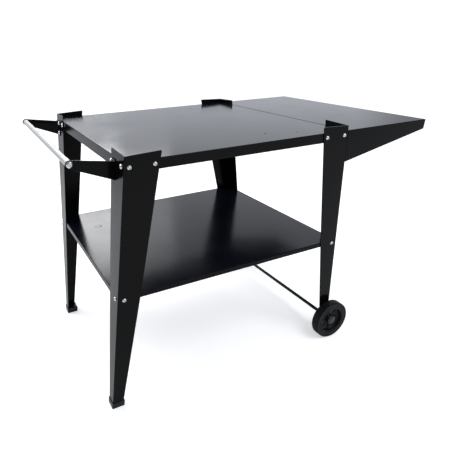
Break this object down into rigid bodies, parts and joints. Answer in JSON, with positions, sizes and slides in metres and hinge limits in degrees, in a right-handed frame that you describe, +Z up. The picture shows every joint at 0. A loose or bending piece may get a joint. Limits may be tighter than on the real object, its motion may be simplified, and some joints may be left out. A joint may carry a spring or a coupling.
{
  "type": "pizza oven stand",
  "caption": "Wheeled stand for an outdoor pizza oven: folded steel table with splayed legs, lower shelf, side table and push handle.",
  "frame": {"origin": "middle of the whole object's box, on the floor that the feet and wheels stand on", "axes": "+X from the push handle to the side table, -Y the front that the picture shows nearer, +Z up"},
  "size_m": [1.332, 0.8376, 0.904],
  "materials": {
    "black_powder_coat": "fine-textured semi-gloss black powder coat on sheet steel",
    "stainless_steel": "satin stainless tube, brushed round its length",
    "zinc_plated_steel": "bright zinc plating",
    "black_plastic": "moulded black plastic, satin",
    "black_rubber": "matt black tread",
    "blackened_steel": "blackened steel rod"
  },
  "bodies": {
    "frame": {"top_tray": "black_powder_coat", "bottom_shelf": "black_powder_coat", "side_table": "black_powder_coat", "leg_front_left": "black_powder_coat", "leg_rear_left": "black_powder_coat", "leg_front_right": "black_powder_coat", "leg_rear_right": "black_powder_coat", "foot_front": "black_plastic", "foot_rear": "black_plastic", "handle_bracket_front": "black_powder_coat", "handle_bracket_rear": "black_powder_coat", "handle_tube": "stainless_steel", "handle_insert_front": "zinc_plated_steel", "handle_insert_rear": "zinc_plated_steel", "handle_bolt_front": "zinc_plated_steel", "handle_bolt_rear": "zinc_plated_steel", "bracket_bolt_front": "zinc_plated_steel", "bracket_bolt_rear": "zinc_plated_steel", "axle": "blackened_steel", "axle_washer_front": "zinc_plated_steel", "axle_washer_rear": "zinc_plated_steel", "axle_clip_front": "zinc_plated_steel", "axle_clip_rear": "zinc_plated_steel", "table_bolt_front_left_side_1": "zinc_plated_steel", "table_bolt_front_left_side_2": "zinc_plated_steel", "table_bolt_front_left_end_1": "zinc_plated_steel", "table_bolt_front_left_end_2": "zinc_plated_steel", "table_bolt_rear_left_side_1": "zinc_plated_steel", "table_bolt_rear_left_side_2": "zinc_plated_steel", "table_bolt_rear_left_end_1": "zinc_plated_steel", "table_bolt_rear_left_end_2": "zinc_plated_steel", "table_bolt_front_right_side_1": "zinc_plated_steel", "table_bolt_front_right_side_2": "zinc_plated_steel", "table_bolt_front_right_end_1": "zinc_plated_steel", "table_bolt_front_right_end_2": "zinc_plated_steel", "table_bolt_rear_right_side_1": "zinc_plated_steel", "table_bolt_rear_right_side_2": "zinc_plated_steel", "table_bolt_rear_right_end_1": "zinc_plated_steel", "table_bolt_rear_right_end_2": "zinc_plated_steel", "shelf_bolt_front_left_side": "zinc_plated_steel", "shelf_bolt_front_left_end": "zinc_plated_steel", "shelf_bolt_rear_left_side": "zinc_plated_steel", "shelf_bolt_rear_left_end": "zinc_plated_steel", "shelf_bolt_front_right_side": "zinc_plated_steel", "shelf_bolt_front_right_end": "zinc_plated_steel", "shelf_bolt_rear_right_side": "zinc_plated_steel", "shelf_bolt_rear_right_end": "zinc_plated_steel"},
    "wheel_front": {"tyre_front": "black_rubber", "rim_front": "black_plastic", "hub_cap_front": "black_plastic"},
    "wheel_rear": {"tyre_rear": "black_rubber", "rim_rear": "black_plastic", "hub_cap_rear": "black_plastic"}
  },
  "joints": [
    {"name": "wheel_front_spin", "type": "hinge", "parent": "frame", "child": "wheel_front", "pos_m": [0.3387, -0.37954, 0.08], "axis": [0, 1, 0], "continuous": true},
    {"name": "wheel_rear_spin", "type": "hinge", "parent": "frame", "child": "wheel_rear", "pos_m": [0.3387, 0.37954, 0.08], "axis": [0, 1, 0], "continuous": true}
  ]
}
